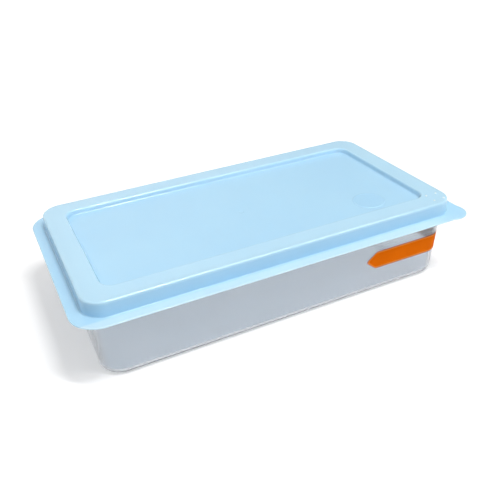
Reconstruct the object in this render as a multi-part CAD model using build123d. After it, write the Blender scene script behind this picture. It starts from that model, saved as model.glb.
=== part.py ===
from build123d import *
import math
import os

# Snap lid food container: a clear tub, a pale blue lid that snaps over its rim, and a wrap label.
# Millimetres. The origin is at the middle of the tub's foot, +X along the length, -Y is the front
# with the label and +Z is up. The foot rests on Z = 0.

# --- Tub: walls -------------------------------------------------------------------------------
BASE_LENGTH = 230.6       # outside of the walls, carried down to Z = 0
BASE_WIDTH = 113.8
BASE_CORNER = 12.8        # radius of the upright corners at the base
MOUTH_LENGTH = 235.0      # outside of the walls at the rim
MOUTH_WIDTH = 118.0
MOUTH_CORNER = 10.0
TUB_HEIGHT = 52.85
TUB_WALL = 1.6
TUB_FLOOR = 1.8
BASE_EDGE = 4.6           # outside rounding between wall and floor
FOOT_BAND = 9.0           # width of the foot rim that touches the table
FOOT_CORNER = 6.0         # corner radius of the raised floor inside the foot rim
FOOT_RISE = 0.7           # that floor stands this much off the table

# --- Tub: the bead round the mouth that the lid snaps over ------------------------------------
BEAD_OUT = 0.9            # how far it stands out from the wall
BEAD_HEIGHT = 3.6
BEAD_EDGE = 0.6           # rounding of its two outer edges

# --- Lid: rim ---------------------------------------------------------------------------------
LID_WALL = 1.15           # thickness of the rim's skin and of the panel
BEAD_PLAY = 0.45          # sideways gap between the bead and the rim's inner face
RIM_HEIGHT = 9.4          # from the flange's top face to the rim's top face
RIM_DRAFT = 0.5           # the rim's outer face leans in by this much over its height
RIM_EDGE = 1.1            # rounding along the rim's top outer edge
RIM_FOOT = 0.7            # rounding in the corner between rim and flange

# --- Lid: flange and pull tab -----------------------------------------------------------------
FLANGE_OUT = 7.2          # how far the flange stands out from the rim's foot
FLANGE_THICK = 1.0
FLANGE_CORNER = 16.6
FLANGE_EDGE = 0.4         # rounding of its thin outer edge
TAB_RADIUS = 10.2
TAB_INSET = 9.4           # from the flange's two edges to the middle of the tab's round end
TAB_BLEND = 7.0           # radius where the tab's outline runs into the flange's

# --- Lid: sunk panel --------------------------------------------------------------------------
BAR_WIDTH = 13.0          # width of the flat bar round the panel
SINK_DEPTH = 3.4
SINK_LEAN = 1.0           # how far the sunk wall leans in over its depth
SINK_CORNER = 8.0
SINK_TOP_EDGE = 1.2       # rounding where the bar meets the sunk wall
SINK_BOTTOM_EDGE = 0.9    # rounding where the sunk wall meets the panel

# --- Lid: inside ------------------------------------------------------------------------------
SEAL_PLAY = 0.3           # gap between the seal rib and the tub's inner wall
SEAL_THICK = 1.1
SEAL_DROP = 4.0           # how far the rib hangs below the rim's underside
SNAP_OUT = 0.75           # the snap ridge on the rim's inner face, below the bead
SNAP_GAP = 0.5            # from the bead's underside down to the ridge
SNAP_HEIGHT = 1.4

# --- Lid: small marks -------------------------------------------------------------------------
MEDAL_FROM_END = 30.5     # plain round medallion on the panel, from the panel's right end
MEDAL_FROM_FRONT = 17.2   # and from its front edge, to the middle
MEDAL_RADIUS = 10.4
MEDAL_RISE = 0.25
MEDAL_BORDER = 1.0
PIP_FROM_END = 9.6        # four pips on the rim bar's corner by the tab, from the rim's edges
PIP_FROM_FRONT = 8.7      # to the middle of their square
PIP_PITCH = 7.6
PIP_RADIUS = 0.7
PIP_RISE = 0.35
GATE_X = -4.0             # shallow dimple where the moulding was filled
GATE_Y = -2.5
GATE_RADIUS = 1.6
GATE_DEPTH = 0.2

# --- Label ------------------------------------------------------------------------------------
LABEL_THICK = 0.12
LABEL_HEIGHT = 12.2
LABEL_BOTTOM = 17.7       # height of its lower edge above the table
LABEL_FRONT = 62.2        # length on the front wall, from the tip to the tub's end
LABEL_SIDE = 40.0         # length on the end wall, from the tub's front to the tip
LABEL_POINT = 7.8         # length of each arrow end
LABEL_CORNER = 1.6        # rounding of the arrow ends' corners

NEAR = 0.01               # edges this close to a height or an outline count as on it


def outline(length, width, corner, z):
    """A face with rounded corners, centred on the Z axis at height z."""
    return Plane.XY.offset(z) * RectangleRounded(length, width, corner)


def drafted(size, z, height, lean):
    """Block that starts as the outline at height z and leans in by the same amount all round."""
    return extrude(outline(*size, z), height, taper=math.degrees(math.atan2(lean, abs(height))))


def grown(size, by):
    """The (length, width, corner) outline moved outward by the same distance all round."""
    length, width, corner = size
    return (length + 2 * by, width + 2 * by, corner + by)


def wall_size(z, inset=0.0):
    """Outline of the tub's wall at height z, moved inward by inset."""
    base = (BASE_LENGTH, BASE_WIDTH, BASE_CORNER)
    mouth = (MOUTH_LENGTH, MOUTH_WIDTH, MOUTH_CORNER)
    share = z / TUB_HEIGHT
    return grown([low + (high - low) * share for low, high in zip(base, mouth)], -inset)


def wall_block(z_bottom, z_top, inset=0.0):
    """Block that follows the slope of the tub's wall between two heights."""
    sections = [outline(*wall_size(z, inset), z) for z in (z_bottom, z_top)]
    return loft(sections, ruled=True)


def edges_at(solid, z):
    """All edges of the solid that lie flat at height z."""
    return solid.edges().filter_by_position(Axis.Z, z - NEAR, z + NEAR)


def edges_inside(solid, z, size):
    """Edges at height z that lie on or within an outline, not outside it."""
    reach_x, reach_y = size[0] / 2 + NEAR, size[1] / 2 + NEAR
    return [
        edge for edge in edges_at(solid, z)
        if abs(edge.center().X) < reach_x and abs(edge.center().Y) < reach_y
    ]


def ring(outer, inner, z_bottom, z_top):
    """Upright ring between two outlines."""
    height = z_top - z_bottom
    return extrude(outline(*outer, z_bottom), height) - extrude(outline(*inner, z_bottom), height)


# Heights and outlines that the lid takes from the tub
rim_under = TUB_HEIGHT                       # the lid's rim rests on the tub's top edge
rim_top = rim_under + LID_WALL
flange_top = rim_top - RIM_HEIGHT
flange_bottom = flange_top - FLANGE_THICK
bead_size = grown(wall_size(TUB_HEIGHT), BEAD_OUT)
rim_in_top = grown(bead_size, BEAD_PLAY)
rim_out_top = grown(rim_in_top, LID_WALL)
rim_out_foot = grown(rim_out_top, RIM_DRAFT)
flange_size = (
    rim_out_foot[0] + 2 * FLANGE_OUT,
    rim_out_foot[1] + 2 * FLANGE_OUT,
    FLANGE_CORNER,
)
sink_top = (
    rim_out_top[0] - 2 * BAR_WIDTH,
    rim_out_top[1] - 2 * BAR_WIDTH,
    SINK_CORNER,
)
sink_bottom = grown(sink_top, -SINK_LEAN)
panel_top = rim_top - SINK_DEPTH


def make_tub():
    wall = fillet(edges_at(wall_block(0, TUB_HEIGHT), 0), BASE_EDGE)
    bead = extrude(outline(*bead_size, TUB_HEIGHT - BEAD_HEIGHT), BEAD_HEIGHT)
    bead = fillet(edges_at(bead, TUB_HEIGHT) + edges_at(bead, TUB_HEIGHT - BEAD_HEIGHT), BEAD_EDGE)
    inside = wall_block(TUB_FLOOR, TUB_HEIGHT, TUB_WALL)
    inside = fillet(edges_at(inside, TUB_FLOOR), BASE_EDGE - TUB_WALL)
    foot_inset = BASE_EDGE + FOOT_BAND
    raised = outline(BASE_LENGTH - 2 * foot_inset, BASE_WIDTH - 2 * foot_inset, FOOT_CORNER, 0)
    hollow_foot = extrude(raised, FOOT_RISE)
    return wall + bead - inside - hollow_foot


def make_flange():
    """Flat flange with the pull tab at its front right corner."""
    sheet = outline(*flange_size, 0)
    tab_x = flange_size[0] / 2 - TAB_INSET
    tab_y = -flange_size[1] / 2 + TAB_INSET
    sheet += Pos(tab_x, tab_y) * Circle(TAB_RADIUS)
    # The two hollow corners where the tab's arc crosses the flange's corner arc
    near = sheet.vertices().sort_by_distance((tab_x, tab_y, 0))[:2]
    sheet = fillet(near, TAB_BLEND)
    plate = extrude(Plane.XY.offset(flange_bottom) * sheet, FLANGE_THICK)
    return fillet(edges_at(plate, flange_bottom) + edges_at(plate, flange_top), FLANGE_EDGE)


def make_seal_rib():
    """Rib that hangs just inside the tub's mouth and follows its taper."""
    inset = TUB_WALL + SEAL_PLAY
    low = rim_under - SEAL_DROP
    return wall_block(low, rim_under, inset) - wall_block(low, rim_under, inset + SEAL_THICK)


def make_snap_ridge():
    """Ridge inside the rim's wall, just below the tub's bead."""
    top = TUB_HEIGHT - BEAD_HEIGHT - SNAP_GAP
    face = grown(rim_in_top, RIM_DRAFT)
    return ring(grown(face, LID_WALL / 2), grown(face, -SNAP_OUT), top - SNAP_HEIGHT, top)


def make_lid():
    rim = drafted(rim_out_foot, flange_bottom, rim_top - flange_bottom, RIM_DRAFT)
    rim = fillet(edges_at(rim, rim_top), RIM_EDGE)
    lid = rim + make_flange()
    lid = fillet(edges_inside(lid, flange_top, rim_out_foot), RIM_FOOT)
    channel = drafted(
        grown(rim_in_top, RIM_DRAFT), flange_bottom, rim_under - flange_bottom, RIM_DRAFT
    )
    lid -= channel
    lid += make_snap_ridge() + make_seal_rib()
    lid += drafted(grown(sink_top, LID_WALL), rim_top, -SINK_DEPTH - LID_WALL, SINK_LEAN)
    sink = drafted(sink_top, rim_top, -SINK_DEPTH, SINK_LEAN)
    sink = fillet(edges_at(sink, panel_top), SINK_BOTTOM_EDGE)
    lid -= sink
    return fillet(edges_inside(lid, rim_top, sink_top), SINK_TOP_EDGE)


def stud(x, y, z, radius, height):
    """Upright disc that stands on height z."""
    return Pos(x, y, z) * Cylinder(radius, height, align=(Align.CENTER, Align.CENTER, Align.MIN))


def make_marks(lid):
    """Medallion, pips and filling dimple."""
    medal_x = sink_bottom[0] / 2 - MEDAL_FROM_END
    medal_y = -sink_bottom[1] / 2 + MEDAL_FROM_FRONT
    lid += stud(medal_x, medal_y, panel_top, MEDAL_RADIUS, MEDAL_RISE)
    lid -= stud(medal_x, medal_y, panel_top + MEDAL_RISE / 2, MEDAL_RADIUS - MEDAL_BORDER, MEDAL_RISE)
    pip_x = rim_out_top[0] / 2 - PIP_FROM_END
    pip_y = -rim_out_top[1] / 2 + PIP_FROM_FRONT
    for place in GridLocations(PIP_PITCH, PIP_PITCH, 2, 2):
        lid += stud(pip_x + place.position.X, pip_y + place.position.Y, rim_top, PIP_RADIUS, PIP_RISE)
    lid -= stud(GATE_X, GATE_Y, panel_top - GATE_DEPTH, GATE_RADIUS, GATE_DEPTH)
    return lid


def arrow_strip(length):
    """Strip from the tub's corner out to a pointed end, as a sketch of (distance, height)."""
    low, high = LABEL_BOTTOM, LABEL_BOTTOM + LABEL_HEIGHT
    shoulder = length - LABEL_POINT
    strip = make_face(
        Polyline(
            (-LABEL_FRONT, low), (shoulder, low), (length, (low + high) / 2),
            (shoulder, high), (-LABEL_FRONT, high), close=True,
        )
    )
    pointed = strip.vertices().filter_by_position(Axis.X, 0, length)
    return fillet(pointed, LABEL_CORNER)


def make_label():
    """Thin film on the front wall and the end wall, carried round the corner between them."""
    length, width, corner = wall_size(LABEL_BOTTOM)
    end_x, front_y = length / 2, -width / 2
    film = wall_block(0, TUB_HEIGHT, -LABEL_THICK) - wall_block(0, TUB_HEIGHT)
    # Each strip is drawn from the tub's corner and cuts the film on its own side of the arc
    front_plane = Plane((end_x, front_y + corner, 0), x_dir=(-1, 0, 0), z_dir=(0, 1, 0))
    side_plane = Plane((end_x - corner, front_y, 0), x_dir=(0, 1, 0), z_dir=(1, 0, 0))
    front = extrude(front_plane * arrow_strip(LABEL_FRONT), -2 * corner)
    side = extrude(side_plane * arrow_strip(LABEL_SIDE), 2 * corner)
    return film & (front + side)


if __name__ == "__main__":
    os.makedirs("parts", exist_ok=True)
    export_step(make_tub(), "parts/tub.step")
    export_step(make_marks(make_lid()), "parts/lid.step")
    export_step(make_label(), "parts/label.step")
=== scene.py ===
"""Snap lid food container: its looks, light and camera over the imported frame.

Lengths in the part's own figures are millimetres, as in the CAD, and become metres where the
meshes are made. -Y is the front, +X the end with the pull tab.
"""
import math

import bpy
from mathutils import Matrix, Vector, noise
from mathutils.geometry import delaunay_2d_cdt


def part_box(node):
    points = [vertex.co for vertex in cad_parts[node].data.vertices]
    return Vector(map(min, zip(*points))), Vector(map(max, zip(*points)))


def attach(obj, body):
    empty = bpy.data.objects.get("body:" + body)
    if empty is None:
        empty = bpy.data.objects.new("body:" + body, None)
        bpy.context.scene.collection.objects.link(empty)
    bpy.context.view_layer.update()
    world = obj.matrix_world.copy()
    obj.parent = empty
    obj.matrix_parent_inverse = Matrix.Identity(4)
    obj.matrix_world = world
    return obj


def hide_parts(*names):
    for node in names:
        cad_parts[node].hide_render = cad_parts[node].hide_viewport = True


MM = 0.001

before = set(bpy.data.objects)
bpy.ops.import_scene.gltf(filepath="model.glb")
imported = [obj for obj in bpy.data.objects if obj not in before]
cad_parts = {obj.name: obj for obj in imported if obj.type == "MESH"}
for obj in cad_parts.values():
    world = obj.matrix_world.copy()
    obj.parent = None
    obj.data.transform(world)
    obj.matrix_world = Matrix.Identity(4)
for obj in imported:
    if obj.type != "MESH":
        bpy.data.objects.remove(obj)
scene = bpy.context.scene
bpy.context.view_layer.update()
_, tub_high = (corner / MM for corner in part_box("tub"))
lid_low, lid_high = (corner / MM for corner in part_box("lid"))
label_low, label_high = (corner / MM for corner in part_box("label"))

# --- Sizes that the boxes don't give ------------------------------------------------------------
# Tub
BEAD_OUT = 0.9            # the bead round the mouth, out from the wall
BEAD_HEIGHT = 3.6
BASE_HALF_X = 115.3       # the walls' outer outline, carried down to the table
BASE_HALF_Y = 58.6
BASE_CORNER = 13.6
MOUTH_CORNER = 10.0
TUB_WALL = 1.6
TUB_FLOOR = 1.8
BASE_EDGE = 4.6           # outer rounding between wall and floor
FOOT_BAND = 9.0           # width of the foot rim that touches the table
FOOT_CORNER = 9.0
FOOT_RISE = 0.7           # the floor inside the foot rim stands this much off the table
FOOT_SLOPE = 5.0          # width of the slope up to it

# Lid
LID_WALL = 1.15
BEAD_PLAY = 0.45          # sideways gap between the bead and the rim's inner face
RIM_DRAFT = 0.5           # the rim's outer face leans in by this much over its height
RIM_EDGE = 1.1            # rounding along the rim's top outer edge
RIM_FOOT = 0.7            # rounding in the corner between rim and flange
FLANGE_THICK = 1.0
FLANGE_CORNER = 16.6
FLANGE_EDGE = 0.4
TAB_RADIUS = 10.2
TAB_INSET = 9.4           # from the flange's two edges to the middle of the tab's round end
TAB_BLEND = 7.0           # radius where the tab's outline runs into the flange's
BAR_WIDTH = 13.0          # the flat bar round the sunk panel
SINK_DEPTH = 3.4
SINK_LEAN = 1.0           # how far the sunk wall leans in over its depth
SINK_CORNER = 8.0
SINK_TOP_EDGE = 1.2
SINK_BOTTOM_EDGE = 1.2
SEAL_INSET = 1.9          # the seal rib's outer face, in from the tub's outer wall
SEAL_THICK = 1.1
SEAL_DROP = 4.0
SNAP_OUT = 0.75           # the snap ridge inside the rim
SNAP_GAP = 0.5            # from the bead's underside down to the ridge
SNAP_HEIGHT = 1.4
MEDAL_FROM_END = 30.5     # the medallion's middle, from the panel's right end and front edge
MEDAL_FROM_FRONT = 17.2
MEDAL_RADIUS = 10.4
MEDAL_RISE = 0.25
MEDAL_BORDER = 1.0
PIP_FROM_END = 9.6        # the middle of the four pips' square, from the rim's edges
PIP_FROM_FRONT = 8.7
PIP_PITCH = 7.6
PIP_RADIUS = 0.7
PIP_RISE = 0.35
GATE = (-4.0, -2.5)       # the shallow mark where the moulding was filled
GATE_RADIUS = 1.6
GATE_DEPTH = 0.2

# Label
LABEL_THICK = 0.16
LABEL_POINT = 7.8         # length of each arrow end
LABEL_CORNER = 1.6
LABEL_MARGIN = 0.3        # the darker cut edge of the film
LABEL_BORDER = 0.55       # from the film's edge in to the lighter line
LABEL_LINE = 0.45         # width of that line

# --- Places that follow from the boxes -----------------------------------------------------------
mouth_x, mouth_y = tub_high.x - BEAD_OUT, tub_high.y - BEAD_OUT
tub_top = tub_high.z
rim_top = lid_high.z - PIP_RISE
rim_under = rim_top - LID_WALL
flange_under = lid_low.z
flange_top = flange_under + FLANGE_THICK
flange_x, flange_y = -lid_low.x, lid_high.y
panel_top = rim_top - SINK_DEPTH
panel_under = panel_top - LID_WALL
rim = (tub_high.x + BEAD_PLAY + LID_WALL, tub_high.y + BEAD_PLAY + LID_WALL,
       MOUTH_CORNER + BEAD_OUT + BEAD_PLAY + LID_WALL)
sink = (rim[0] - BAR_WIDTH, rim[1] - BAR_WIDTH, SINK_CORNER)

# --- Outlines: points round a rounded rectangle, anticlockwise from the front right corner ------
CORNER_STEPS = 24
LONG_STEPS = 44
SHORT_STEPS = 22
TAB_STEPS = (1, 5, 12)    # flange arc, hollow, tab: the first two twice and the last make a corner


def arc(centre, radius, start, end, steps):
    """Points along an arc, with both ends, from angle start to angle end in degrees."""
    points = []
    for k in range(steps + 1):
        angle = math.radians(start + (end - start) * k / steps)
        points.append(Vector((centre[0] + radius * math.cos(angle),
                              centre[1] + radius * math.sin(angle))))
    return points


def corner_arcs(half_x, half_y, corner):
    """The four corners' arcs of a rounded rectangle."""
    arcs = []
    for index, (side_x, side_y) in enumerate(((1, -1), (1, 1), (-1, 1), (-1, -1))):
        centre = (side_x * (half_x - corner), side_y * (half_y - corner))
        arcs.append(arc(centre, corner, 90 * (index - 1), 90 * index, CORNER_STEPS))
    return arcs


def joined(arcs):
    """Corner arcs joined by evenly divided straight sides."""
    points = []
    for index, corner in enumerate(arcs):
        points += corner
        start, end = corner[-1], arcs[(index + 1) % 4][0]
        steps = LONG_STEPS if index % 2 else SHORT_STEPS
        points += [start.lerp(end, k / steps) for k in range(1, steps)]
    return points


def grown(size, by):
    """Outline of a (half length, half width, corner) size moved outward by the same distance."""
    half_x, half_y, corner = size
    return joined(corner_arcs(half_x + by, half_y + by, corner + by))


def wall_size(z):
    """The (half length, half width, corner) of the tub's outer wall at height z."""
    share = z / tub_top
    return [low + (high - low) * share for low, high in
            zip((BASE_HALF_X, BASE_HALF_Y, BASE_CORNER), (mouth_x, mouth_y, MOUTH_CORNER))]


def wall(z, by):
    """Outline of the tub's outer wall at height z, moved outward."""
    return grown(wall_size(z), by)


def flange(by):
    """Outline of the flange with the pull tab at its front right corner, moved outward."""
    arcs = corner_arcs(flange_x + by, flange_y + by, FLANGE_CORNER + by)
    arc_centre = Vector((flange_x - FLANGE_CORNER, FLANGE_CORNER - flange_y))
    tab_centre = Vector((flange_x - TAB_INSET, TAB_INSET - flange_y))
    apart = (tab_centre - arc_centre).length
    to_arc, to_tab = FLANGE_CORNER + TAB_BLEND, TAB_RADIUS + TAB_BLEND
    at_arc = math.degrees(
        math.acos((to_arc ** 2 + apart ** 2 - to_tab ** 2) / (2 * to_arc * apart)))
    at_tab = 180 - math.degrees(
        math.acos((to_tab ** 2 + apart ** 2 - to_arc ** 2) / (2 * to_tab * apart)))
    path = []
    for side in (-1, 1):
        way = side * at_arc - 45
        hollow = arc_centre + to_arc * Vector(
            (math.cos(math.radians(way)), math.sin(math.radians(way))))
        outer = arc(arc_centre, FLANGE_CORNER + by, side * 45 - 45, way, TAB_STEPS[0])
        blend = arc(hollow, TAB_BLEND - by, way + 180, side * at_tab + 135, TAB_STEPS[1])
        path.append(outer + blend[1:])
    round_end = arc(tab_centre, TAB_RADIUS + by, -at_tab - 45, at_tab - 45, TAB_STEPS[2])
    arcs[0] = path[0] + round_end[1:-1] + path[1][::-1]
    return joined(arcs)


# --- Profiles: (across, up) with rounded corners -------------------------------------------------
ARC_STEP = 11.0           # degrees a step of a rounding turns by
FEWEST_ARC_STEPS = 3
SUPPORT = 0.22            # rings this close to a rounding keep the flats beside it flat
LONGEST = 7.0             # rings on a flat are no further apart than this


def bend(before, here, after, radius, steps=None):
    """Points of the rounding at the corner here, between the lines to before and after."""
    back, on = (before - here).normalized(), (after - here).normalized()
    half = back.angle(on) / 2
    centre = here + (back + on).normalized() * radius / math.sin(half)
    start = here + back * radius / math.tan(half) - centre
    end = here + on * radius / math.tan(half) - centre
    turn = start.angle(end)
    steps = steps or max(FEWEST_ARC_STEPS, math.ceil(math.degrees(turn) / ARC_STEP))
    return [centre + (start * math.sin((1 - k / steps) * turn)
                      + end * math.sin(k / steps * turn)) / math.sin(turn)
            for k in range(steps + 1)]


def rounded(*corners):
    """The line through (across, up, radius) corners, rounded, with support points."""
    path = []
    for index, (across, up, radius) in enumerate(corners):
        here = Vector((across, up))
        if radius:
            before, after = (Vector(corners[index + step][:2]) for step in (-1, 1))
            path += bend(before, here, after, radius)
        else:
            path.append(here)
    supported = [path[0]]
    for before, after in zip(path, path[1:]):
        length = (after - before).length
        if length > 4 * SUPPORT:
            spans = math.ceil(length / LONGEST)
            supported.append(before.lerp(after, SUPPORT / length))
            supported += [before.lerp(after, k / spans) for k in range(1, spans)]
            supported.append(before.lerp(after, 1 - SUPPORT / length))
        supported.append(after)
    return supported


def rings(outline, path):
    """A ring of points for each point of a profile; outline gives the points for its across."""
    made = []
    for across, up in path:
        flat = outline(up, across) if outline is wall else outline(across)
        made.append([Vector((x, y, up)) for x, y in flat])
    return made


def rise(distance, radius, edge):
    """1 inside a radius, 0 outside, with a soft edge."""
    share = min(max((radius + edge / 2 - distance) / edge, 0), 1)
    return share * share * (3 - 2 * share)


FEWEST_CIRCLE_STEPS = 24
CIRCLE_DENSITY = 2.2      # points on a quarter of a circle, for a millimetre of radius
KEEP_OFF = 0.4            # grid points keep this share of the spacing from circles and ring
PATCH_CORNER = 9.0        # and stay within PATCH_REACH of the middle of a corner this large
PATCH_REACH = 7.5
SAME_POINT = 1e-5
INSIDE_ONLY = 1           # the triangulation's output type that leaves out what lies outside


def triangulated(flat, edges):
    """Points, triangles and each point's sources, for the area inside the outermost edges."""
    made, _, faces, origin, _, _ = delaunay_2d_cdt(flat, edges, [], INSIDE_ONLY, SAME_POINT)
    return made, faces, origin


def patch(boundary, spacing, circles, height):
    """Triangles that fill a ring, with a grid and rings round each (centre, radii) circle.

    Returns the points inside the ring and the triangles, which count the ring's points first.
    """
    flat = [Vector((p.x, p.y)) for p in boundary]
    edges = [(k, (k + 1) % len(flat)) for k in range(len(flat))]
    low_x, high_x = min(p.x for p in flat), max(p.x for p in flat)
    low_y, high_y = min(p.y for p in flat), max(p.y for p in flat)
    for centre, radii in circles:
        middle = Vector(centre)
        for radius in radii:
            count = max(FEWEST_CIRCLE_STEPS, 4 * round(radius * CIRCLE_DENSITY))
            first = len(flat)
            flat += arc(centre, radius, 0, 360, count)[:-1]
            edges += [(first + k, first + (k + 1) % count) for k in range(count)]
        flat.append(middle)
    columns = math.ceil((high_x - low_x) / spacing)
    rows = math.ceil((high_y - low_y) / spacing)
    for i in range(1, columns):
        for j in range(1, rows):
            point = Vector((low_x + (high_x - low_x) * i / columns,
                            low_y + (high_y - low_y) * j / rows))
            clear = all((point - Vector(c)).length > max(radii) + spacing * KEEP_OFF
                        for c, radii in circles)
            to_edge = Vector((high_x - abs(point.x), high_y - abs(point.y)))
            corner = Vector([max(PATCH_CORNER - inset, 0) for inset in to_edge])
            if clear and min(to_edge) > spacing * KEEP_OFF and corner.length < PATCH_REACH:
                flat.append(point)
    made, faces, origin = triangulated(flat, edges)
    ring_of = {}
    inner = []
    for index, point in enumerate(made):
        known = [k for k in origin[index] if k < len(boundary)]
        if known:
            ring_of[index] = known[0]
        else:
            ring_of[index] = len(boundary) + len(inner)
            inner.append(Vector((point.x, point.y, height(point.x, point.y))))
    return inner, [[ring_of[k] for k in face] for face in faces]


def closed_mesh(name, loops, start_patch, end_patch, warp):
    """Closed mesh through rings of points, with both ends filled by patches."""
    count = len(loops[0])
    points = [p for loop in loops for p in loop]
    faces = []
    for level in range(len(loops) - 1):
        a, b = level * count, (level + 1) * count
        for k in range(count):
            n = (k + 1) % count
            faces.append((a + k, a + n, b + n, b + k))
    for first, (inner, triangles), flip in (
            (0, start_patch, True), ((len(loops) - 1) * count, end_patch, False)):
        offset = len(points)
        points += inner
        for triangle in triangles:
            face = [first + k if k < count else offset + k - count for k in triangle]
            faces.append(face[::-1] if flip else face)
    return mesh_object(name, [warp(p) for p in points], faces)


def mesh_object(name, points, faces):
    """A smooth object in the scene, from points in millimetres."""
    mesh = bpy.data.meshes.new(name)
    mesh.from_pydata([p * MM for p in points], [], faces)
    mesh.validate()
    mesh.shade_smooth()
    thing = bpy.data.objects.new(name, mesh)
    scene.collection.objects.link(thing)
    return thing


def outward(thing):
    """Turns every face outward, by the sign of the mesh's volume."""
    mesh = thing.data
    volume = 0.0
    for face in mesh.polygons:
        corners = [mesh.vertices[k].co for k in face.vertices]
        for k in range(1, len(corners) - 1):
            volume += corners[0].dot(corners[k].cross(corners[k + 1]))
    if volume < 0:
        mesh.flip_normals()


# --- Tub -----------------------------------------------------------------------------------------
TUB_LIP = 0.5             # rounding of the mouth's inner edge
TUB_TOP_GAP = 0.06        # the mouth stays this far under the lid's rim, so that no faces meet
WALL_BOW = 0.35           # the long walls bow in this much half way along
BEAD_TOP_EDGE = 0.6
BEAD_UNDER_EDGE = 0.55
BEAD_ROOT_EDGE = 0.3
FOOT_EDGE = 2.0           # the two roundings of the slope inside the foot rim
FOOT_FLAT = 0.6           # flat of the foot rim that belongs to the slope's profile
LEDGE = 1.0               # width of the flat rings that end a profile
TUB_SPACING = 9.0
NUB_RECESS = (4.5, 0.6, 0.25)      # round recess under the floor: radius, soft edge, depth
NUB = (1.1, 0.4, 0.3)              # and the nub in it: radius, soft edge, height
NUB_RINGS = ((0.0, 0.0), (0.9, 1.3, 4.2, 4.8))


def tub_warp(p):
    """The long walls bow in a little."""
    height = min(max(p.z / tub_top, 0), 1)
    bow = WALL_BOW * (1 - (p.x / mouth_x) ** 2) * math.sin(math.pi * height)
    side = min(max(p.y / mouth_y, -1), 1)
    return Vector((p.x, p.y - bow * side ** 3, p.z))


def tub_under(x, y):
    """The floor's underside inside the foot rim, with the round recess and its nub."""
    distance = math.hypot(x, y)
    return (FOOT_RISE + NUB_RECESS[2] * rise(distance, *NUB_RECESS[:2])
            - NUB[2] * rise(distance, *NUB[:2]))


top = tub_top - TUB_TOP_GAP
bead_under = tub_top - BEAD_HEIGHT
foot = BASE_EDGE + FOOT_BAND
inner_edge = BASE_EDGE - TUB_WALL
tub_path = rounded(
    (-TUB_WALL - inner_edge - LEDGE, TUB_FLOOR, 0),
    (-TUB_WALL, TUB_FLOOR, inner_edge),
    (-TUB_WALL, top, TUB_LIP),
    (BEAD_OUT, top, BEAD_TOP_EDGE),
    (BEAD_OUT, bead_under, BEAD_UNDER_EDGE),
    (0, bead_under, BEAD_ROOT_EDGE),
    (0, 0, BASE_EDGE),
    (-BASE_EDGE - LEDGE, 0, 0),
)
hollow_path = rounded(
    (FOOT_FLAT, 0, 0),
    (0, 0, FOOT_EDGE),
    (-FOOT_SLOPE, FOOT_RISE, FOOT_EDGE),
    (-FOOT_SLOPE - LEDGE, FOOT_RISE, 0),
)
foot_size = (BASE_HALF_X - foot, BASE_HALF_Y - foot, FOOT_CORNER)
tub_loops = rings(wall, tub_path) + rings(lambda by: grown(foot_size, by), hollow_path)
tub = closed_mesh(
    "tub_shell", tub_loops,
    patch(tub_loops[0], TUB_SPACING, [], lambda x, y: TUB_FLOOR),
    patch(tub_loops[-1], TUB_SPACING, [NUB_RINGS], tub_under),
    tub_warp,
)
outward(tub)

# --- Lid -----------------------------------------------------------------------------------------
PANEL_SAG = 0.3
SAG_SHAPE = 1.3
BELOW_TOP = 0.1           # points this far below the rim's top belong to the sunk panel
FLANGE_WAVE = 0.18        # the flange's outer edge waves up and down by this much
WAVE_LENGTH = 45.0
WAVE_SLICE = 3.0
MEDAL_SOFT = 0.3          # widths over which the medallion's and the gate mark's edges rise
GATE_SOFT = 0.5
LID_SPACING = 5.0
# Small roundings on the underside
CHANNEL_EDGE = 0.5
SNAP_ROOT_EDGE = 0.2
SNAP_TIP_EDGE = 0.3
SNAP_TAPER = 0.1          # the ridge's lower face rises by this much
SNAP_SHELF = 0.2          # the rim's inner face is this far in at the ridge's top
SNAP_SHELF_EDGE = 0.15
ROOF_EDGE = 0.3
SEAL_OUTER_EDGE = 0.2
SEAL_TIP_EDGE = 0.3
SEAL_INNER_EDGE = 0.4
UNDER_TOP_EDGE = 0.4
UNDER_FOOT_EDGE = 1.2
# Widths of the flats at the ends of the profiles
PANEL_LEDGE = 5.0
BAR_LEDGE = 1.2
CHANNEL_LEDGE = 1.6
ROOF_LEDGE = 0.8
SEAL_LEDGE = 0.6
UNDER_LEDGE = 0.9
UNDER_PANEL_LEDGE = 2.5
medal = (sink[0] - SINK_LEAN - MEDAL_FROM_END, -(sink[1] - SINK_LEAN) + MEDAL_FROM_FRONT)


def lid_warp(p):
    """The panel sags a little and the flange isn't quite flat."""
    x, y = p.x / sink[0], p.y / sink[1]
    z = p.z
    if abs(x) < 1 and abs(y) < 1 and z < rim_top - BELOW_TOP:
        z -= PANEL_SAG * ((1 - x * x) * (1 - y * y)) ** SAG_SHAPE
    out = max(abs(p.x) - rim[0], abs(p.y) - rim[1], 0) / (flange_x - rim[0])
    place = Vector((p.x / WAVE_LENGTH, p.y / WAVE_LENGTH, WAVE_SLICE))
    z += out * FLANGE_WAVE * noise.noise(place)
    return Vector((p.x, p.y, z))


def panel_height(x, y):
    """The panel's top face, with the medallion and the filling mark."""
    from_medal = math.hypot(x - medal[0], y - medal[1])
    from_gate = math.hypot(x - GATE[0], y - GATE[1])
    border_height = (2 * rise(from_medal, MEDAL_RADIUS, MEDAL_SOFT)
                     - rise(from_medal, MEDAL_RADIUS - MEDAL_BORDER, MEDAL_SOFT))
    return (panel_top + MEDAL_RISE / 2 * border_height
            - GATE_DEPTH * rise(from_gate, GATE_RADIUS, GATE_SOFT))


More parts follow.
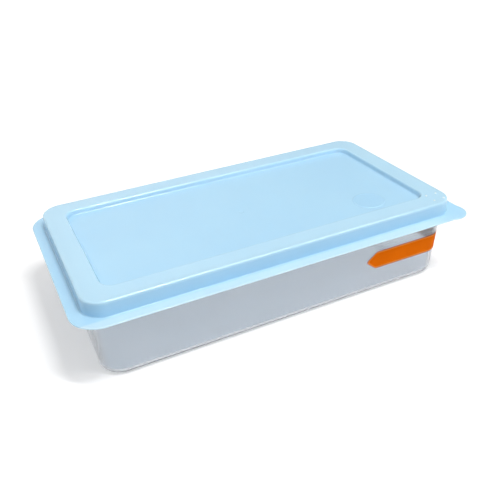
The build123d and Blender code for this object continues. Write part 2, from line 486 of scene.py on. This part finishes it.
# Rings of points that follow the medallion's and the gate mark's edges
border = MEDAL_RADIUS - MEDAL_BORDER
medal_rings = (medal, [MEDAL_RADIUS + d for d in (0.25, 0.15, 0.05, -0.05, -0.15)]
               + [border + d for d in (0.15, 0.05, -0.05, -0.15, -0.25)] + [6.0, 3.0])
gate_rings = (GATE, [GATE_RADIUS + d for d in (0.35, 0.25, 0.1, -0.1, -0.25)] + [0.7])

# Each profile runs on from the last: sunk wall, rim, flange, inside of the rim, seal rib and
# underside
sink_path = rounded(
    (-SINK_LEAN - SINK_BOTTOM_EDGE - PANEL_LEDGE, panel_top, 0),
    (-SINK_LEAN, panel_top, SINK_BOTTOM_EDGE),
    (0, rim_top, SINK_TOP_EDGE),
    (SINK_TOP_EDGE + BAR_LEDGE, rim_top, 0),
)
rim_path = rounded(
    (-RIM_EDGE - BAR_LEDGE, rim_top, 0),
    (0, rim_top, RIM_EDGE),
    (RIM_DRAFT, flange_top, RIM_FOOT),
    (RIM_DRAFT + RIM_FOOT + ROOF_LEDGE, flange_top, 0),
)
flange_path = rounded(
    (-FLANGE_EDGE - LEDGE, flange_top, 0),
    (0, flange_top, FLANGE_EDGE),
    (0, flange_under, FLANGE_EDGE),
    (-FLANGE_EDGE - LEDGE, flange_under, 0),
)
snap_top = bead_under - SNAP_GAP
snap_low = snap_top - SNAP_HEIGHT
inside = -LID_WALL
foot_in = inside + RIM_DRAFT
inner_path = rounded(
    (foot_in + CHANNEL_LEDGE, flange_under, 0),
    (foot_in, flange_under, CHANNEL_EDGE),
    (foot_in, snap_low, SNAP_ROOT_EDGE),
    (foot_in - SNAP_OUT, snap_low + SNAP_TAPER, SNAP_TIP_EDGE),
    (foot_in - SNAP_OUT, snap_top, SNAP_TIP_EDGE),
    (foot_in - SNAP_SHELF, snap_top, SNAP_SHELF_EDGE),
    (inside, rim_under, ROOF_EDGE),
    (inside - ROOF_LEDGE, rim_under, 0),
)
seal_in = -SEAL_INSET - SEAL_THICK
seal_low = rim_under - SEAL_DROP
seal_path = rounded(
    (-SEAL_INSET + SEAL_LEDGE, rim_under, 0),
    (-SEAL_INSET, rim_under, SEAL_OUTER_EDGE),
    (-SEAL_INSET, seal_low, SEAL_TIP_EDGE),
    (seal_in, seal_low, SEAL_TIP_EDGE),
    (seal_in, rim_under, SEAL_INNER_EDGE),
    (seal_in - ROOF_LEDGE, rim_under, 0),
)
under_lean = SINK_LEAN / (SINK_DEPTH + LID_WALL)
under_path = rounded(
    (LID_WALL + UNDER_LEDGE, rim_under, 0),
    (LID_WALL - LID_WALL * under_lean, rim_under, UNDER_TOP_EDGE),
    (LID_WALL - SINK_LEAN, panel_under, UNDER_FOOT_EDGE),
    (LID_WALL - SINK_LEAN - UNDER_PANEL_LEDGE, panel_under, 0),
)
lid_loops = (
    rings(lambda by: grown(sink, by), sink_path)
    + rings(lambda by: grown(rim, by), rim_path)
    + rings(flange, flange_path)
    + rings(lambda by: grown(rim, by), inner_path)
    + rings(wall, seal_path)
    + rings(lambda by: grown(sink, by), under_path)
)
lid = closed_mesh(
    "lid_shell", lid_loops,
    patch(lid_loops[0], LID_SPACING, [medal_rings, gate_rings], panel_height),
    patch(lid_loops[-1], LID_SPACING, [], lambda x, y: panel_under),
    lid_warp,
)
outward(lid)


PIP_STEPS = 24
PIP_SUNK = 0.1            # the pips' foot lies this far under the bar's face
PIP_ANGLES = (0, 22, 45, 67, 90)
PIP_SHOULDER = 0.9        # the domed top draws in by this share of its height


def dome(centre, z, radius, height, sunk):
    """Points and faces of a small round pip with a rounded top, sunk a little into its face."""
    levels = [(radius, -sunk)]
    for angle in map(math.radians, PIP_ANGLES):
        drawn_in = height * (1 - math.cos(angle)) * PIP_SHOULDER
        levels.append((radius - drawn_in, height * math.sin(angle)))
    points, faces = [], []
    for across, up in levels:
        outline = arc(centre, across, 0, 360, PIP_STEPS)[:-1]
        points += [Vector((q.x, q.y, z + up)) for q in outline]
    for level in range(len(levels) - 1):
        low, high = level * PIP_STEPS, (level + 1) * PIP_STEPS
        for k in range(PIP_STEPS):
            n = (k + 1) % PIP_STEPS
            faces.append((low + k, low + n, high + n, high + k))
    faces.append(tuple(range(PIP_STEPS))[::-1])
    faces.append(tuple((len(levels) - 1) * PIP_STEPS + k for k in range(PIP_STEPS)))
    return points, faces


pip_points, pip_faces = [], []
for step_x in (-0.5, 0.5):
    for step_y in (-0.5, 0.5):
        centre = (rim[0] - PIP_FROM_END + step_x * PIP_PITCH,
                  -rim[1] + PIP_FROM_FRONT + step_y * PIP_PITCH)
        points, faces = dome(centre, rim_top, PIP_RADIUS, PIP_RISE, PIP_SUNK)
        pip_faces += [[k + len(pip_points) for k in face] for face in faces]
        pip_points += points
pips = mesh_object("lid_pips", pip_points, pip_faces)
outward(pips)

# --- Label: a film on the front wall and round the corner onto the end wall ----------------------
LABEL_ARC_STEPS = 6
LABEL_SPACING = 1.6       # between points along the film's outlines
LABEL_GAP = 0.02          # between the film's back and the wall
MARGIN_CORNER = 0.85      # roundings of the margin and of the line's two sides, as shares of
LINE_OUT_CORNER = 0.7     # the film's own
LINE_IN_CORNER = 0.65
GRID_ACROSS = 1.1         # the grid of points inside the film
GRID_UP = 2.0
GRID_FROM_TIP = 1.5
GRID_FROM_LOW = 2.2
GRID_FROM_HIGH = 2.0
GRID_INSET = 1.7          # it stays inside an outline of its own
GRID_CORNER = 0.5
GRID_SPACING = 3.0
FILM_SLOT, LINE_SLOT, EDGE_SLOT = 0, 1, 2
label_low_z, label_high_z = label_low.z, label_high.z
label_middle = (label_low_z + label_high_z) / 2
label_half = (label_high_z - label_low_z) / 2
label_wall_x, label_wall_y, _ = wall_size(label_low_z)
label_ends = (-(label_wall_x - label_low.x), label_high.y + label_wall_y)


def hexagon(inset):
    """The film laid flat, as points of (distance from the wall's corner, height).

    Distance is measured as if the wall's corner were square, from the front's end, positive
    along the end wall and negative along the front.
    """
    low, high = label_low_z + inset, label_high_z - inset
    tip = inset * math.hypot(LABEL_POINT, label_half) / label_half
    shoulder = LABEL_POINT - (tip - inset * LABEL_POINT / label_half)
    left, right = label_ends
    return [(left + tip, label_middle), (left + shoulder, low), (right - shoulder, low),
            (right - tip, label_middle), (right - shoulder, high), (left + shoulder, high)]


def round_corners(corners, radius):
    """The closed outline through the corners, with all of them rounded."""
    places = [Vector(corner) for corner in corners]
    points = []
    for index, here in enumerate(places):
        points += bend(places[index - 1], here, places[(index + 1) % len(places)], radius,
                       LABEL_ARC_STEPS)
    return points


def divided(points, spacing):
    """The closed outline with its longer sides divided."""
    made = []
    for index, here in enumerate(points):
        after = points[(index + 1) % len(points)]
        steps = max(1, math.ceil((after - here).length / spacing))
        made += [here.lerp(after, k / steps) for k in range(steps)]
    return made


def on_wall(across, z, out):
    """The place on the tub's wall for a point of the flat film."""
    half_x, half_y, corner = wall_size(z)
    # Film within a corner's radius of the square corner lies along the arc
    if across < -corner:
        place = Vector((half_x + across, -half_y - out, z))
    elif across > corner:
        place = Vector((half_x + out, -half_y + across, z))
    else:
        angle = (across / corner - 1) * math.pi / 4
        place = Vector((half_x - corner + (corner + out) * math.cos(angle),
                        -half_y + corner + (corner + out) * math.sin(angle), z))
    return tub_warp(place)


def inside_outline(point, outline_points):
    """Whether the point lies inside the closed outline."""
    crossings = 0
    for a, b in zip(outline_points, outline_points[1:] + outline_points[:1]):
        if (a.y > point.y) != (b.y > point.y):
            if point.x < a.x + (point.y - a.y) * (b.x - a.x) / (b.y - a.y):
                crossings += 1
    return crossings % 2 == 1


def make_label():
    """The film, with its lighter line and its cut edge as faces with materials of their own."""
    outer, margin, line_out, line_in = (
        divided(round_corners(hexagon(inset), LABEL_CORNER * share), LABEL_SPACING)
        for inset, share in ((0.0, 1.0), (LABEL_MARGIN, MARGIN_CORNER),
                             (LABEL_BORDER, LINE_OUT_CORNER),
                             (LABEL_BORDER + LABEL_LINE, LINE_IN_CORNER)))
    flat, edges = [], []
    for loop in (outer, margin, line_out, line_in):
        first = len(flat)
        flat += loop
        edges += [(first + k, first + (k + 1) % len(loop)) for k in range(len(loop))]
    field = divided(round_corners(hexagon(GRID_INSET), GRID_CORNER), GRID_SPACING)
    x = min(p.x for p in outer) + GRID_FROM_TIP
    while x < max(p.x for p in outer):
        z = label_low_z + GRID_FROM_LOW
        while z < label_high_z - GRID_FROM_HIGH:
            if inside_outline(Vector((x, z)), field):
                flat.append(Vector((x, z)))
            z += GRID_UP
        x += GRID_ACROSS
    made, faces, origin = triangulated(flat, edges)
    count = len(made)
    points = [on_wall(p.x, p.y, out) for out in (LABEL_THICK, LABEL_GAP) for p in made]
    index_of = {k: index for index, known in enumerate(origin) for k in known}
    all_faces, slots = [], []
    for face in faces:
        middle = sum((made[k] for k in face), Vector((0, 0))) / len(face)
        if inside_outline(middle, line_out) and not inside_outline(middle, line_in):
            slots.append(LINE_SLOT)
        else:
            slots.append(FILM_SLOT if inside_outline(middle, margin) else EDGE_SLOT)
        slots.append(FILM_SLOT)
        all_faces += [list(face), [k + count for k in face][::-1]]
    for k in range(len(outer)):
        a, b = index_of[k], index_of[(k + 1) % len(outer)]
        all_faces.append([a, a + count, b + count, b])
        slots.append(EDGE_SLOT)
    film = mesh_object("label_film", points, all_faces)
    for polygon, slot in zip(film.data.polygons, slots):
        polygon.material_index = slot
    outward(film)
    return film


label = make_label()

# --- Materials ----------------------------------------------------------------------------------
COLOUR_SPAN = (0.35, 0.65)         # noise between which a plastic's two colours mix
GLOSS_SPAN = (0.3, 0.7)            # and its two roughnesses
GLOSS_FINER = 3                    # patches of gloss to a patch of colour
COLOUR_DETAIL, GLOSS_DETAIL, BUMP_DETAIL = 3.0, 4.0, 2.0
COLOUR_A, COLOUR_B, COLOUR_MIXED = 6, 7, 2      # sockets of a Mix node, for colours
FLOAT_A, FLOAT_B, FLOAT_MIXED = 2, 3, 0         # and for numbers


def principled(name, **values):
    """A material and its shader, with the shader's inputs set from the values."""
    material = bpy.data.materials.new(name)
    material.use_nodes = True
    shader = material.node_tree.nodes["Principled BSDF"]
    for key, value in values.items():
        shader.inputs[key.replace("_", " ")].default_value = value
    return material, shader


def add(material, kind, **values):
    """A new node, with its properties or inputs set from the values."""
    node = material.node_tree.nodes.new(kind)
    for key, value in values.items():
        if key in node.bl_rna.properties:
            setattr(node, key, value)
        else:
            node.inputs[key.replace("_", " ")].default_value = value
    return node


def link(material, source, target):
    material.node_tree.links.new(source, target)


def combined(material, operation, *sources):
    """One value from several, two at a time; a number stands for itself."""
    result = sources[0]
    for source in sources[1:]:
        node = add(material, "ShaderNodeMath", operation=operation)
        link(material, result, node.inputs[0])
        if isinstance(source, float):
            node.inputs[1].default_value = source
        else:
            link(material, source, node.inputs[1])
        result = node.outputs[0]
    return result


def ranged(material, source, span, kind="SMOOTHSTEP", to=(0.0, 1.0)):
    """The source's values over the span, turned into the values in to."""
    node = add(material, "ShaderNodeMapRange", interpolation_type=kind, From_Min=span[0],
               From_Max=span[1], To_Min=to[0], To_Max=to[1])
    link(material, source, node.inputs["Value"])
    return node.outputs["Result"]


def tinted(material, colour, mask, tint, kind="MULTIPLY"):
    """The colour, with the tint laid over it where the mask is 1."""
    node = add(material, "ShaderNodeMix", data_type="RGBA", blend_type=kind)
    link(material, mask, node.inputs["Factor"])
    link(material, colour, node.inputs[COLOUR_A])
    node.inputs[COLOUR_B].default_value = (*tint, 1)
    return node.outputs[COLOUR_MIXED]


def moulded(name, low, high, roughness, patches, grain, ripple, **values):
    """Plastic with uneven colour and gloss, a fine grain and a slow ripple, all from noise.

    patches is in repeats a metre; grain and ripple are (repeats a metre, height in metres).
    """
    material, shader = principled(name, **values)
    place = add(material, "ShaderNodeTexCoord").outputs["Object"]

    def clouds(scale, detail):
        node = add(material, "ShaderNodeTexNoise", Scale=scale, Detail=detail)
        link(material, place, node.inputs["Vector"])
        return node.outputs["Fac"]

    colour = add(material, "ShaderNodeValToRGB")
    for element, position, value in zip(colour.color_ramp.elements, COLOUR_SPAN, (low, high)):
        element.position, element.color = position, (*value, 1)
    link(material, clouds(patches, COLOUR_DETAIL), colour.inputs["Fac"])
    link(material, colour.outputs["Color"], shader.inputs["Base Color"])
    gloss = ranged(material, clouds(patches * GLOSS_FINER, GLOSS_DETAIL), GLOSS_SPAN, "LINEAR",
                   roughness)
    link(material, gloss, shader.inputs["Roughness"])
    normal = None
    for scale, height in (ripple, grain):
        bump = add(material, "ShaderNodeBump", Distance=height)
        link(material, clouds(scale, BUMP_DETAIL), bump.inputs["Height"])
        if normal:
            link(material, normal, bump.inputs["Normal"])
        normal = bump.outputs["Normal"]
    link(material, normal, shader.inputs["Normal"])
    return material, shader


FINE_GRAIN = (1100.0, 0.000004)
blue, blue_shader = moulded(
    "blue_plastic", (0.474, 0.728, 0.95), (0.492, 0.748, 0.965), roughness=(0.09, 0.17),
    patches=16.0, grain=FINE_GRAIN, ripple=(17.0, 0.00018), IOR=1.49,
    Subsurface_Weight=0.5, Subsurface_Scale=0.003, Subsurface_Radius=(1.0, 1.0, 1.0))

# Tints of the lid's colour: painted shade below the rim's top, a tint on the medallion, painted
# shade on the rim's front face, and painted light on the thin front flange
BELOW_TOP_SHADE = (0.9, 0.945, 0.983)
MEDAL_TINT = (0.955, 0.975, 0.99)
FRONT_WALL_SHADE = (0.86, 0.92, 0.955)
FRONT_FLANGE_LIGHT = (0.55, 0.765, 0.945)
# Where each comes in, from none of it to all of it, as steps from an edge of the lid
BELOW_SPAN = (-0.4, -2.6)          # up from the rim's top
MEDAL_SPAN = (0.1, -0.5)           # out from the medallion's edge
FRONT_SPAN = (-12.5, -4.0)         # out from the rim's front
ABOVE_SPAN = (0.2, 1.0)            # up from the flange's top
FRONT_FLANGE_LIGHT_SPAN = (0.2, 2.2)             # out from the rim's foot
END_SPAN = (2.0, -28.0)            # out from the rim's right end, for both of the front's tints


def span(edge, steps, way=1):
    """The places in metres that lie the steps beyond an edge, on the side that way gives."""
    return [way * (edge + step) * MM for step in steps]


place = add(blue, "ShaderNodeTexCoord").outputs["Object"]
axes = add(blue, "ShaderNodeSeparateXYZ")
link(blue, place, axes.inputs[0])
from_medal = add(blue, "ShaderNodeVectorMath", operation="DISTANCE")
from_medal.inputs[1].default_value = Vector((*medal, panel_top)) * MM
link(blue, place, from_medal.inputs[0])
below = ranged(blue, axes.outputs["Z"], span(rim_top, BELOW_SPAN))
on_medal = ranged(blue, from_medal.outputs["Value"], span(MEDAL_RADIUS, MEDAL_SPAN), "LINEAR")
front = ranged(blue, axes.outputs["Y"], span(rim[1], FRONT_SPAN, -1))
above = ranged(blue, axes.outputs["Z"], span(flange_top, ABOVE_SPAN))
flange_light_mask = ranged(blue, axes.outputs["Y"], span(rim[1] + RIM_DRAFT, FRONT_FLANGE_LIGHT_SPAN, -1))
inward = ranged(blue, axes.outputs["X"], span(rim[0], END_SPAN))
# painted shade: the lid is darker everywhere below the rim's top
colour = tinted(blue, blue_shader.inputs["Base Color"].links[0].from_socket, below, BELOW_TOP_SHADE)
colour = tinted(blue, colour, on_medal, MEDAL_TINT)
# painted shade on the rim's front face
colour = tinted(blue, colour, combined(blue, "MULTIPLY", front, above, below, inward),
                FRONT_WALL_SHADE)
# painted light: the thin front flange turns paler, as if lit through from below
colour = tinted(blue, colour, combined(blue, "MULTIPLY", flange_light_mask, inward), FRONT_FLANGE_LIGHT, "MIX")
link(blue, colour, blue_shader.inputs["Base Color"])

# painted highlight: the pips are much paler than the lid, standing in for glints on their tops
pip_glint_paint, _ = moulded(
    "blue_pips_painted_glint", (0.78, 0.9, 0.97), (0.82, 0.92, 0.98), roughness=(0.06, 0.1),
    patches=16.0, grain=FINE_GRAIN, ripple=(17.0, 0.00002), IOR=1.49)
clear, _ = moulded(
    "clear_plastic", (0.755, 0.8, 0.848), (0.785, 0.825, 0.873), roughness=(0.16, 0.24),
    patches=22.0, grain=(700.0, 0.000001), ripple=(12.0, 0.0001), IOR=1.49,
    Transmission_Weight=0.92, Coat_Weight=0.4, Coat_Roughness=0.04)
PRINTED = dict(patches=90.0, grain=(1500.0, 0.000006), ripple=(60.0, 0.00008),
               IOR=1.5, Specular_IOR_Level=0.02)
orange, _ = moulded(
    "orange_film", (0.91, 0.17, 0.0), (0.95, 0.183, 0.0), roughness=(0.45, 0.6), **PRINTED)
orange_line, _ = moulded(
    "orange_line", (0.95, 0.4, 0.12), (0.98, 0.44, 0.15), roughness=(0.4, 0.55), **PRINTED)
orange_edge, _ = moulded(
    "orange_edge", (0.53, 0.062, 0.0), (0.6, 0.075, 0.0), roughness=(0.45, 0.6), **PRINTED)

lid.data.materials.append(blue)
tub.data.materials.append(clear)
pips.data.materials.append(pip_glint_paint)
for finish in (orange, orange_line, orange_edge):
    label.data.materials.append(finish)

for piece, body, slot in (
        (tub, "tub", "clear_plastic"), (lid, "lid", "blue_plastic"),
        (pips, "lid", "blue_plastic"), (label, "tub", "orange_film")):
    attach(piece, body)
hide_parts("tub")
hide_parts("lid")
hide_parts("lid")
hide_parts("label")

# --- Floor, light and camera --------------------------------------------------------------------
FLOOR_SIZE = 12.0
FLOOR_DROP = 0.0002       # so that the floor doesn't meet the tub's faces
FLOOR_COLOUR = (0.74, 0.735, 0.735, 1)
FLOOR_LIFT = 0.38         # plain white that the camera and gloss see on top of the floor's own
FAR_LIFT = 0.2            # and more of it further out
FAR_SPAN = (0.3, 0.9)     # metres from the middle over which that comes in
FLOOR_THROUGH = 0.85      # share of plain white in the floor as seen through the clear tub
SKY_LIGHT = 0.54          # the sky's strength as a light; the camera and glass see white
SKY_FADE = (0.1, 0.62)    # gloss sees it white up to the first of these shares of +X
SKY_DARK = 0.3            # and this dark from the second on
WHITE = (1, 1, 1, 1)

bpy.ops.mesh.primitive_plane_add(size=FLOOR_SIZE, location=(0, 0, -FLOOR_DROP))
floor = bpy.context.object
floor.name = "floor"
white, white_shader = principled(
    "floor_white", Base_Color=FLOOR_COLOUR, Roughness=0.9, Specular_IOR_Level=0.0,
    Emission_Color=WHITE)
path = add(white, "ShaderNodeLightPath")
far = add(white, "ShaderNodeVectorMath", operation="LENGTH")
link(white, add(white, "ShaderNodeTexCoord").outputs["Object"], far.inputs[0])
lift = ranged(white, far.outputs["Value"], FAR_SPAN, "LINEAR", (FLOOR_LIFT, FLOOR_LIFT + FAR_LIFT))
seen = combined(white, "MAXIMUM", path.outputs["Is Camera Ray"], path.outputs["Is Glossy Ray"])
link(white, combined(white, "MULTIPLY", seen, lift), white_shader.inputs["Emission Strength"])
lifted = add(white, "ShaderNodeMixShader")
link(white, combined(white, "MULTIPLY", path.outputs["Is Transmission Ray"], FLOOR_THROUGH),
     lifted.inputs["Fac"])
link(white, white_shader.outputs[0], lifted.inputs[1])
link(white, add(white, "ShaderNodeEmission").outputs[0], lifted.inputs[2])
link(white, lifted.outputs[0], white.node_tree.nodes["Material Output"].inputs["Surface"])
floor.data.materials.append(white)

world = bpy.data.worlds.new("studio")
scene.world = world
world.use_nodes = True
sky = world.node_tree.nodes["Background"]
sky.inputs["Color"].default_value = WHITE
sky_path = add(world, "ShaderNodeLightPath")
sky_way = add(world, "ShaderNodeSeparateXYZ")
link(world, add(world, "ShaderNodeTexCoord").outputs["Generated"], sky_way.inputs[0])
sky_gloss = add(world, "ShaderNodeMix", data_type="FLOAT")
link(world, sky_path.outputs["Is Glossy Ray"], sky_gloss.inputs["Factor"])
sky_gloss.inputs[FLOAT_A].default_value = SKY_LIGHT
link(world, ranged(world, sky_way.outputs["X"], SKY_FADE, to=(1.0, SKY_DARK)),
     sky_gloss.inputs[FLOAT_B])
sky_seen = combined(world, "MAXIMUM", sky_path.outputs["Is Camera Ray"],
                    sky_path.outputs["Is Transmission Ray"], sky_gloss.outputs[FLOAT_MIXED])
link(world, sky_seen, sky.inputs["Strength"])


def softbox(name, start, end, depth, power):
    """A long soft lamp from start to end that faces the object."""
    start, end = Vector(start), Vector(end)
    middle = (start + end) / 2
    along = (end - start).normalized()
    back = (middle - along * middle.dot(along)).normalized()
    lamp = bpy.data.lights.new(name, "AREA")
    lamp.shape = "RECTANGLE"
    lamp.size, lamp.size_y = (end - start).length, depth
    lamp.energy = power
    thing = bpy.data.objects.new(name, lamp)
    thing.location = middle
    thing.rotation_euler = Matrix((along, back.cross(along), back)).transposed().to_euler()
    scene.collection.objects.link(thing)
    return thing


softbox("overhead", (0.1, -0.52, 2.0), (0.55, -0.9, 2.0), depth=0.08, power=20.0)
softbox("front", (0.3, -0.95, 2.0), (1.6, -1.5, 2.0), depth=0.35, power=14.3)
glint = softbox("glint", (-0.1, -0.55, 0.85), (0.8, -0.55, 0.85), depth=0.25, power=9.0)
glint.visible_diffuse = False

CAMERA_AZIMUTH = -24.38   # degrees
CAMERA_ELEVATION = 30.51
CAMERA_ROLL = -2.66
CAMERA_TARGET = Vector((-0.0041, 0.0012, 0.0274))
CAMERA_DISTANCE = 0.4097  # metres
CAMERA_LENS = 45.97       # millimetres
CAMERA_SENSOR = 36.0
lens = bpy.data.cameras.new("camera")
lens.lens = CAMERA_LENS
lens.sensor_width = CAMERA_SENSOR
camera = bpy.data.objects.new("camera", lens)
azimuth, elevation = math.radians(CAMERA_AZIMUTH), math.radians(CAMERA_ELEVATION)
back = Vector((math.sin(azimuth) * math.cos(elevation),
               -math.cos(azimuth) * math.cos(elevation), math.sin(elevation)))
camera.location = CAMERA_TARGET + back * CAMERA_DISTANCE
look = back.to_track_quat("Z", "Y").to_matrix()
camera.rotation_euler = (look @ Matrix.Rotation(math.radians(CAMERA_ROLL), 3, "Z")).to_euler()
scene.collection.objects.link(camera)
scene.camera = camera
scene.view_settings.view_transform = "Standard"
